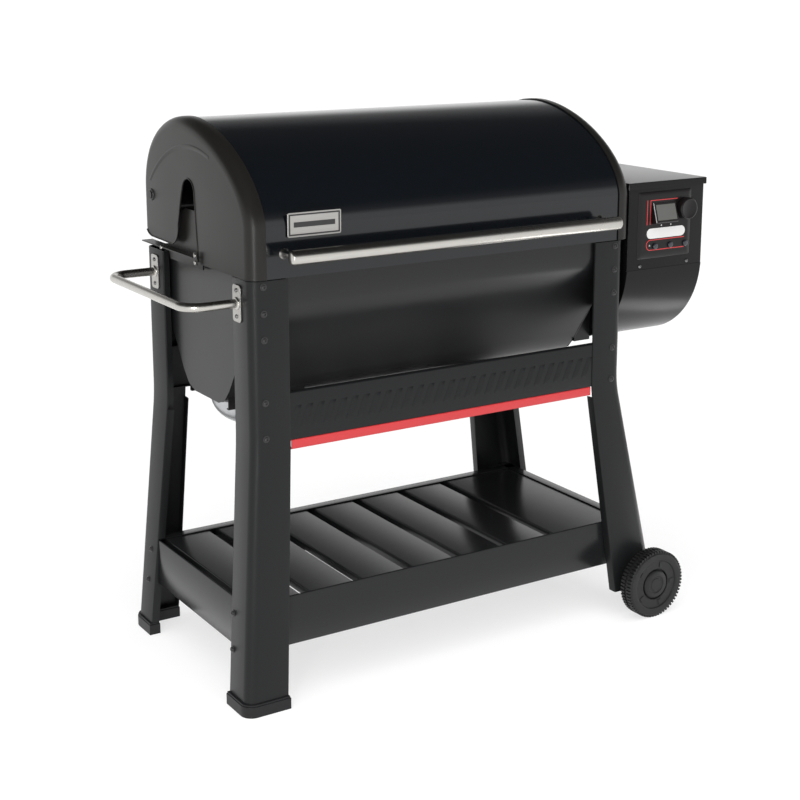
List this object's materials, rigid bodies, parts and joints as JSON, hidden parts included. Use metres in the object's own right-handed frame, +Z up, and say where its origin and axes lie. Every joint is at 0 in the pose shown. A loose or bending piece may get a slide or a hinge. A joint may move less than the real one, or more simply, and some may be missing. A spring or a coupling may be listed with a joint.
{
  "type": "pellet smoker grill",
  "caption": "Barrel pellet smoker with a hinged lid, louvred front panel, slatted lower shelf, side handle, wheels, and a side hopper with a control panel and auger.",
  "frame": {"origin": "centre of the whole object's bounding box, at floor level", "axes": "+X to the hopper side, -Y to the front, +Z up"},
  "size_m": [1.2984, 0.66, 1.177],
  "materials": {
    "lid_enamel": "gloss black enamel",
    "cap_black": "satin black",
    "body_black": "satin black",
    "leg_black": "satin powder coat",
    "shelf_black": "satin powder coat",
    "accent_red": "satin red",
    "stainless": "brushed",
    "grate_black": "porcelain enamel",
    "heat_steel": "plain steel",
    "galvanised": "galvanised",
    "hopper_black": "satin powder coat",
    "hopper_lid_grey": "light grey top, dark skirt",
    "motor_black": "dark painted",
    "wheel_plastic": "moulded",
    "foot_plastic": "moulded",
    "control_plastic": "satin moulded",
    "screen": "gloss, unlit"
  },
  "bodies": {
    "grill": {"left_hinge_bracket": "cap_black", "right_hinge_bracket": "cap_black", "cook_box": "body_black", "cook_box_left_end": "body_black", "cook_box_right_end": "body_black", "front_left_leg": "leg_black", "rear_left_leg": "leg_black", "front_right_leg": "leg_black", "rear_right_leg": "leg_black", "front_panel": "leg_black", "rear_panel": "leg_black", "front_skirt": "shelf_black", "rear_skirt": "shelf_black", "left_skirt": "shelf_black", "right_skirt": "shelf_black", "shelf_slat_1": "shelf_black", "shelf_slat_2": "shelf_black", "shelf_slat_3": "shelf_black", "shelf_slat_4": "shelf_black", "shelf_slat_5": "shelf_black", "shelf_slat_6": "shelf_black", "shelf_slat_7": "shelf_black", "accent_rail": "accent_red", "side_handle": "stainless", "front_handle_plate": "stainless", "rear_handle_plate": "stainless", "chamber_probe": "stainless", "cooking_grate": "grate_black", "warming_rack": "grate_black", "drip_tray": "heat_steel", "firepot": "heat_steel", "auger_tube": "heat_steel", "wheel_axle": "heat_steel", "pellet_bin": "galvanised", "hopper_housing": "hopper_black", "hopper_cover": "hopper_black", "auger_motor": "motor_black", "front_left_foot": "foot_plastic", "rear_left_foot": "foot_plastic", "control_bezel": "control_plastic", "power_inlet": "control_plastic", "display": "screen"},
    "lid": {"lid_skin": "lid_enamel", "lid_left_cap": "cap_black", "lid_right_cap": "cap_black", "lid_handle": "stainless", "badge_plate": "stainless"},
    "hopper_door": {"hopper_lid": "hopper_lid_grey"},
    "front_wheel_set": {"front_wheel": "wheel_plastic", "front_hub_cap": "wheel_plastic"},
    "rear_wheel_set": {"rear_wheel": "wheel_plastic", "rear_hub_cap": "wheel_plastic"},
    "knob": {"knob": "control_plastic"},
    "button_1": {"button_1": "control_plastic"},
    "button_2": {"button_2": "control_plastic"},
    "button_3": {"button_3": "control_plastic"},
    "auger": {"auger": "heat_steel"},
    "fan": {"fan_wheel": "control_plastic"},
    "grease_bowl": {"grease_bowl": "galvanised"}
  },
  "joints": [
    {"name": "lid_hinge", "type": "hinge", "parent": "grill", "child": "lid", "pos_m": [-0.06775, 0.203, 1.001], "axis": [-1, 0, 0], "range_deg": [0, 84]},
    {"name": "hopper_lid_hinge", "type": "hinge", "parent": "grill", "child": "hopper_door", "pos_m": [0.533, 0.1225, 1.002], "axis": [-1, 0, 0], "range_deg": [0, 100]},
    {"name": "front_wheel_spin", "type": "hinge", "parent": "grill", "child": "front_wheel_set", "pos_m": [0.46025, -0.312, 0.08], "axis": [0, 1, 0], "continuous": true},
    {"name": "rear_wheel_spin", "type": "hinge", "parent": "grill", "child": "rear_wheel_set", "pos_m": [0.46025, 0.312, 0.08], "axis": [0, 1, 0], "continuous": true},
    {"name": "knob_spin", "type": "hinge", "parent": "grill", "child": "knob", "pos_m": [0.58425, -0.2386, 0.9395], "axis": [0, 1, 0], "continuous": true},
    {"name": "button_1_press", "type": "slide", "parent": "grill", "child": "button_1", "axis": [0, 1, 0], "range_m": [0, 0.0015], "stiffness_N_per_m": 500, "springref_m": -0.001},
    {"name": "button_2_press", "type": "slide", "parent": "grill", "child": "button_2", "axis": [0, 1, 0], "range_m": [0, 0.0015], "stiffness_N_per_m": 500, "springref_m": -0.001},
    {"name": "button_3_press", "type": "slide", "parent": "grill", "child": "button_3", "axis": [0, 1, 0], "range_m": [0, 0.0015], "stiffness_N_per_m": 500, "springref_m": -0.001},
    {"name": "auger_spin", "type": "hinge", "parent": "grill", "child": "auger", "pos_m": [0.29225, 0, 0.672], "axis": [1, 0, 0], "continuous": true},
    {"name": "fan_spin", "type": "hinge", "parent": "grill", "child": "fan", "pos_m": [0.53225, 0.075, 0.69], "axis": [0, 1, 0], "continuous": true},
    {"name": "grease_bowl_slide", "type": "slide", "parent": "grill", "child": "grease_bowl", "axis": [-1, 0, 0], "range_m": [0, 0.17]}
  ]
}
